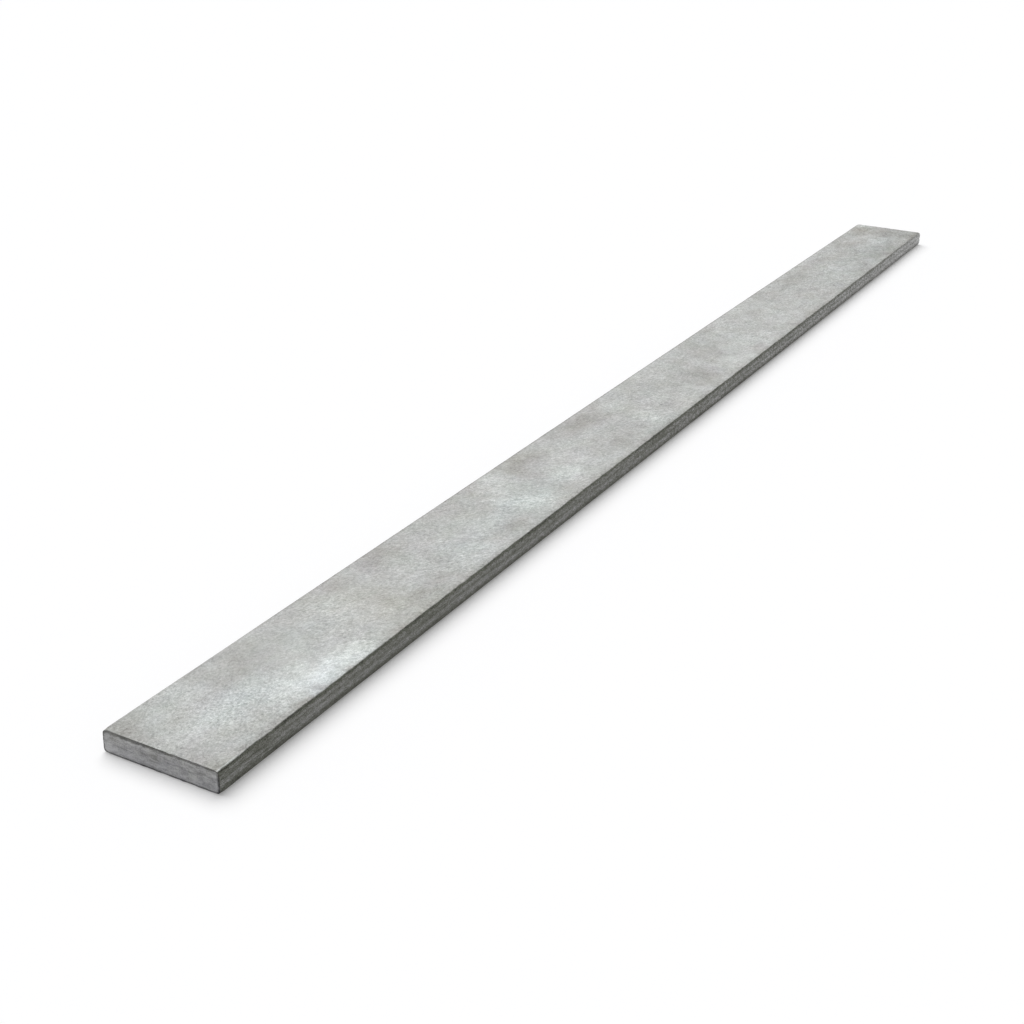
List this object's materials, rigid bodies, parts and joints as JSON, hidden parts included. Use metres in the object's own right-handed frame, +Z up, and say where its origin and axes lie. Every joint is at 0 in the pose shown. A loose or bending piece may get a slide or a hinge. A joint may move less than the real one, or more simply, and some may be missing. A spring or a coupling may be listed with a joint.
{
  "type": "flat bar",
  "caption": "Straight hot rolled steel flat bar of plain rectangular section with rounded long corners and square sawn ends.",
  "frame": {"origin": "centre of the underside of the bar", "axes": "+X along the length, +Y across the width, +Z up through the thickness, out of the upper flat face"},
  "size_m": [0.75, 0.045, 0.0084],
  "materials": {
    "rolled_steel": "as rolled, thin even mill scale, satin"
  },
  "bodies": {
    "root": {"flat_bar": "rolled_steel"}
  },
  "joints": []
}
